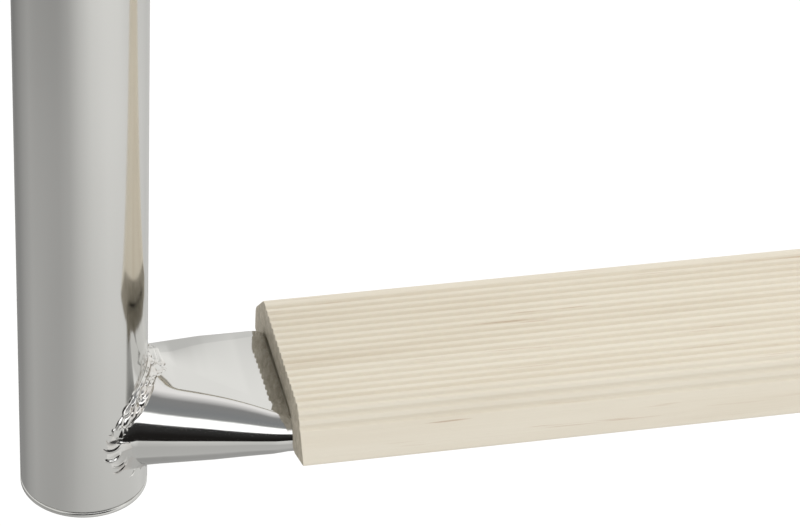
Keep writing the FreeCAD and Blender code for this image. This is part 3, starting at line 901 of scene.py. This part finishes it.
def make_floor():
    """A pale floor well below the foot, lifted to white for the camera and clear from below."""
    mesh = bpy.data.meshes.new("floor")
    reach = FLOOR_REACH
    level = FOOT - FLOOR_DROP
    corners = [(-reach, -reach), (reach, -reach), (reach, reach), (-reach, reach)]
    mesh.from_pydata([(*corner, level) for corner in corners], [], [(0, 1, 2, 3)])
    floor = bpy.data.objects.new("floor", mesh)
    bpy.context.scene.collection.objects.link(floor)
    material, tree, shader = new_material("floor_white")
    shader.inputs["Base Color"].default_value = (0.8, 0.8, 0.8, 1.0)
    shader.inputs["Roughness"].default_value = 0.9
    paths = node(tree, "ShaderNodeLightPath")
    glow = node(tree, "ShaderNodeMath", operation="MULTIPLY")
    glow.inputs[1].default_value = FLOOR_GLOW
    link(tree, paths, "Is Camera Ray", glow, 0)
    shader.inputs["Emission Color"].default_value = WHITE
    link(tree, glow, "Value", shader, "Emission Strength")
    seen_from = node(tree, "ShaderNodeNewGeometry")
    clear = node(tree, "ShaderNodeBsdfTransparent")
    mixer = node(tree, "ShaderNodeMixShader")
    link(tree, seen_from, "Backfacing", mixer, 0)
    link(tree, shader, "BSDF", mixer, 1)
    link(tree, clear, "BSDF", mixer, 2)
    link(tree, mixer, "Shader", tree.nodes["Material Output"], "Surface")
    mesh.materials.append(material)
    floor.visible_glossy = False


STUDIO_TINT = (1.0, 0.995, 0.97)
EVEN_LIGHT = 0.87


def by_turn(tree, turn, stops):
    """A ramp over the compass: stops are (degrees from the ladder's front, grey)."""
    tinted = [((angle + 180) / 360, [grey * part for part in STUDIO_TINT]) for angle, grey in stops]
    made = ramp(tree, tinted)
    link(tree, turn, "Result", made, "Fac")
    return made


def make_world():
    """White to the camera, even light for dull surfaces, and a studio for shiny ones."""
    world = bpy.data.worlds.new("studio")
    bpy.context.scene.world = world
    world.use_nodes = True
    world.cycles.sampling_method = "NONE"
    tree = world.node_tree
    tree.nodes.clear()
    sky = node(tree, "ShaderNodeTexCoord")
    parts = node(tree, "ShaderNodeSeparateXYZ")
    link(tree, sky, "Generated", parts, "Vector")
    front = node(tree, "ShaderNodeMath", operation="MULTIPLY")
    front.inputs[1].default_value = -1.0
    link(tree, parts, "Y", front, 0)
    angle = node(tree, "ShaderNodeMath", operation="ARCTAN2")
    link(tree, parts, "X", angle, 0)
    link(tree, front, "Value", angle, 1)
    turn = spread(tree, angle, "Value", 0.0, 1.0, -math.pi, math.pi)

    low_far = by_turn(tree, turn, [
        (-180, 0.28), (-160, 0.23), (-130, 0.37), (-110, 0.44), (-90, 0.39), (-60, 0.355),
        (-45, 0.375), (-30, 0.50), (-10, 0.80), (10, 1.03), (30, 1.06), (60, 1.02), (75, 0.90),
        (120, 0.78), (140, 0.67), (160, 0.62), (180, 0.45),
    ])
    low_near = by_turn(tree, turn, [
        (-180, 0.28), (-150, 0.33), (-130, 0.45), (-110, 0.54), (-80, 0.51), (-50, 0.48),
        (-30, 0.53), (-10, 0.68), (10, 0.80), (40, 0.88), (75, 0.85), (120, 0.78),
        (140, 0.67), (160, 0.62), (180, 0.45),
    ])
    under = by_turn(tree, turn, [
        (-180, 0.35), (-60, 0.5), (-20, 0.60), (30, 0.62), (120, 0.55), (180, 0.35),
    ])
    sides = by_turn(tree, turn, [
        (-180, 0.60), (-150, 0.85), (-60, 0.95), (60, 1.10), (145, 1.12), (165, 0.72), (180, 0.60),
    ])
    above = by_turn(tree, turn, [(-180, 1.05), (180, 1.05)])

    # The tones follow each other by the ray's height. From below: under, low and near, low and
    # far, the sides, above.
    near_share = spread(tree, parts, "Z", 1.0, 0.0, -0.67, -0.545)
    low = blend(tree, near_share, "Result", (low_far, "Color"), (low_near, "Color"))
    under_share = spread(tree, parts, "Z", 1.0, 0.0, -0.80, -0.69)
    bottom = blend(tree, under_share, "Result", (low, MIX_RESULT), (under, "Color"))
    above_share = spread(tree, parts, "Z", 0.0, 1.0, 0.35, 0.8)
    top = blend(tree, above_share, "Result", (sides, "Color"), (above, "Color"))
    top_share = spread(tree, parts, "Z", 0.0, 1.0, -0.515, -0.30)
    around = blend(tree, top_share, "Result", (bottom, MIX_RESULT), (top, MIX_RESULT))

    # In front, crisp black, white and grey bands by height take over.
    lift = spread(tree, parts, "Z", 0.0, 1.0, -1.0, 1.0)
    bands = ramp(tree, [
        (0.0, (0.012, 0.011, 0.010)), (0.40, (0.012, 0.011, 0.010)), (0.583, 0.045),
        (0.593, 1.9), (0.715, 1.9), (0.740, (0.35, 0.36, 0.36)),
        (0.80, (0.29, 0.30, 0.31)), (0.885, 0.31), (0.935, (1.12, 1.10, 1.09)),
    ])
    link(tree, lift, "Result", bands, "Fac")
    facing = by_turn(tree, turn, [(-48, 0.0), (-22, 1.0), (32, 1.0), (55, 0.0)])
    banded = ramp(tree, [(0.2405, 0.0), (0.2435, 1.0)])
    link(tree, lift, "Result", banded, "Fac")
    front_share = node(tree, "ShaderNodeMath", operation="MULTIPLY")
    link(tree, facing, "Color", front_share, 0)
    link(tree, banded, "Color", front_share, 1)
    studio = blend(tree, front_share, "Value", (around, MIX_RESULT), (bands, "Color"))

    paths = node(tree, "ShaderNodeLightPath")
    even = node(tree, "ShaderNodeBackground", Color=(1.0, 0.995, 0.985, 1.0), Strength=EVEN_LIGHT)
    shiny = node(tree, "ShaderNodeBackground")
    link(tree, studio, MIX_RESULT, shiny, "Color")
    white = node(tree, "ShaderNodeBackground", Color=WHITE)
    plain = node(tree, "ShaderNodeMath", operation="MAXIMUM")
    link(tree, paths, "Is Camera Ray", plain, 0)
    link(tree, paths, "Is Transmission Ray", plain, 1)
    first = node(tree, "ShaderNodeMixShader")
    second = node(tree, "ShaderNodeMixShader")
    output = node(tree, "ShaderNodeOutputWorld")
    link(tree, paths, "Is Glossy Ray", first, 0)
    link(tree, even, "Background", first, 1)
    link(tree, shiny, "Background", first, 2)
    link(tree, plain, "Value", second, 0)
    link(tree, first, "Shader", second, 1)
    link(tree, white, "Background", second, 2)
    link(tree, second, "Shader", output, "Surface")


LIT_POINT = Vector((0.2, -0.2, -0.6))


def make_light(name, place, size, power):
    """A soft square lamp that shiny surfaces don't reflect."""
    lamp = bpy.data.lights.new(name, "AREA")
    lamp.shape = "SQUARE"
    lamp.size = size
    lamp.energy = power
    holder = bpy.data.objects.new(name, lamp)
    bpy.context.scene.collection.objects.link(holder)
    holder.location = place
    aim = LIT_POINT - Vector(place)
    holder.rotation_euler = aim.to_track_quat("-Z", "Y").to_euler()
    holder.visible_glossy = False
    holder.visible_camera = False


def make_camera():
    """The photograph's view, as fitted: close on the foot of the left stile."""
    right = Vector((0.97426521, -0.22060955, 0.04624628))
    up = Vector((0.09347939, 0.58214416, 0.80769411))
    ahead = Vector((0.20510703, 0.78258520, -0.58778525))
    lens = bpy.data.cameras.new("view")
    lens.lens = 160.96
    lens.sensor_width = 36.0
    lens.sensor_fit = "HORIZONTAL"
    lens.clip_start = 0.01
    lens.clip_end = 100.0
    camera = bpy.data.objects.new("view", lens)
    bpy.context.scene.collection.objects.link(camera)
    turn = Matrix((right, up, -ahead)).transposed().to_4x4()
    camera.matrix_world = Matrix.Translation((-0.12849, -1.10929, -0.62145)) @ turn
    bpy.context.scene.camera = camera


make_floor()
make_world()
make_light("key", (1.8, -2.0, 2.4), 2.2, 30.0)
make_light("top", (0.6, 1.6, 2.8), 2.0, 32.0)
make_camera()
bpy.context.scene.view_settings.view_transform = "Standard"
